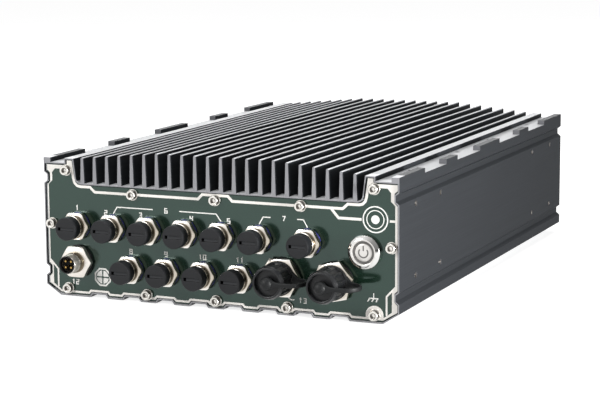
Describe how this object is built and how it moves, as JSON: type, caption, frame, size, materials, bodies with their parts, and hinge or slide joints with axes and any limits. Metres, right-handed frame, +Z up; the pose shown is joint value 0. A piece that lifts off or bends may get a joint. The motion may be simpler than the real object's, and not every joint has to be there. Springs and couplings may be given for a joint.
{
  "type": "fanless box computer",
  "caption": "Rugged fanless box computer with a finned top, sealed round connectors under screw caps and a power button.",
  "frame": {"origin": "centre of the underside, on the plane the feet stand on", "axes": "+X to the right seen from the front, +Y from the front panel to the rear, +Z up"},
  "size_m": [0.22, 0.3359, 0.0861],
  "materials": {
    "anodised_body": "dark grey anodised extrusion, fine drawn grain",
    "painted_panel": "satin dark grey-green paint with bare metal edges",
    "black_rubber": "matt",
    "blue_rubber": "matt",
    "steel": "bright turned",
    "nickel": "satin nickel plate",
    "polished_steel": "polished",
    "black_plastic": "matt",
    "cap_plastic": "fine moulded texture",
    "grey_plastic": "translucent light ring, unlit",
    "gold_brass": "gold plated",
    "board": "green solder mask",
    "chip": "matt",
    "bare_aluminium": "milled",
    "drive_case": "plain"
  },
  "bodies": {
    "housing": {"finned_lid": "anodised_body", "chassis_shell": "anodised_body", "front_panel": "painted_panel", "rear_panel": "painted_panel", "front_seal": "black_rubber", "rear_seal": "black_rubber", "front_screws": "steel", "rear_screws": "steel", "port_shells": "nickel", "port_seals": "blue_rubber", "port_nuts": "nickel", "port_inserts": "black_plastic", "inlet_shell": "nickel", "inlet_seal": "black_rubber", "inlet_nut": "nickel", "inlet_insert": "black_plastic", "inlet_pins": "gold_brass", "sealed_port_shell_1": "nickel", "sealed_port_shell_2": "nickel", "cap_strap_1": "black_rubber", "cap_strap_2": "black_rubber", "sealed_port_seals": "black_rubber", "sealed_port_nuts": "nickel", "sealed_port_inserts": "black_plastic", "button_housing": "polished_steel", "button_ring": "grey_plastic", "button_nut": "nickel", "button_spring": "steel", "port_board": "board", "mainboard": "board", "board_screws": "steel", "processor": "chip", "heat_spreader": "bare_aluminium", "memory_modules": "board", "storage_drive": "drive_case", "power_module": "drive_case"},
    "port_cap_1": {"port_cap_1": "cap_plastic"},
    "port_cap_2": {"port_cap_2": "cap_plastic"},
    "port_cap_3": {"port_cap_3": "cap_plastic"},
    "port_cap_4": {"port_cap_4": "cap_plastic"},
    "port_cap_5": {"port_cap_5": "cap_plastic"},
    "port_cap_6": {"port_cap_6": "cap_plastic"},
    "port_cap_7": {"port_cap_7": "cap_plastic"},
    "port_cap_8": {"port_cap_8": "cap_plastic"},
    "port_cap_9": {"port_cap_9": "cap_plastic"},
    "port_cap_10": {"port_cap_10": "cap_plastic"},
    "port_cap_11": {"port_cap_11": "cap_plastic"},
    "sealed_cap_1": {"sealed_cap_1": "cap_plastic"},
    "sealed_cap_2": {"sealed_cap_2": "cap_plastic"},
    "button_cap": {"button_cap": "polished_steel"}
  },
  "joints": [
    {"name": "port_cap_1_draw", "type": "slide", "parent": "housing", "child": "port_cap_1", "axis": [0, -1, 0], "range_m": [0, 0.012]},
    {"name": "port_cap_2_draw", "type": "slide", "parent": "housing", "child": "port_cap_2", "axis": [0, -1, 0], "range_m": [0, 0.012]},
    {"name": "port_cap_3_draw", "type": "slide", "parent": "housing", "child": "port_cap_3", "axis": [0, -1, 0], "range_m": [0, 0.012]},
    {"name": "port_cap_4_draw", "type": "slide", "parent": "housing", "child": "port_cap_4", "axis": [0, -1, 0], "range_m": [0, 0.012]},
    {"name": "port_cap_5_draw", "type": "slide", "parent": "housing", "child": "port_cap_5", "axis": [0, -1, 0], "range_m": [0, 0.012]},
    {"name": "port_cap_6_draw", "type": "slide", "parent": "housing", "child": "port_cap_6", "axis": [0, -1, 0], "range_m": [0, 0.012]},
    {"name": "port_cap_7_draw", "type": "slide", "parent": "housing", "child": "port_cap_7", "axis": [0, -1, 0], "range_m": [0, 0.012]},
    {"name": "port_cap_8_draw", "type": "slide", "parent": "housing", "child": "port_cap_8", "axis": [0, -1, 0], "range_m": [0, 0.012]},
    {"name": "port_cap_9_draw", "type": "slide", "parent": "housing", "child": "port_cap_9", "axis": [0, -1, 0], "range_m": [0, 0.012]},
    {"name": "port_cap_10_draw", "type": "slide", "parent": "housing", "child": "port_cap_10", "axis": [0, -1, 0], "range_m": [0, 0.012]},
    {"name": "port_cap_11_draw", "type": "slide", "parent": "housing", "child": "port_cap_11", "axis": [0, -1, 0], "range_m": [0, 0.012]},
    {"name": "sealed_cap_1_turn", "type": "hinge", "parent": "housing", "child": "sealed_cap_1", "pos_m": [0.0408, -0.165, 0.0215], "axis": [0, -1, 0], "range_deg": [0, 360]},
    {"name": "sealed_cap_2_turn", "type": "hinge", "parent": "housing", "child": "sealed_cap_2", "pos_m": [0.0725, -0.165, 0.0215], "axis": [0, -1, 0], "range_deg": [0, 360]},
    {"name": "power_button_press", "type": "slide", "parent": "housing", "child": "button_cap", "axis": [0, 1, 0], "range_m": [0, 0.001], "stiffness_N_per_m": 2000, "springref_m": -0.0005, "deforming": ["button_spring"]}
  ]
}
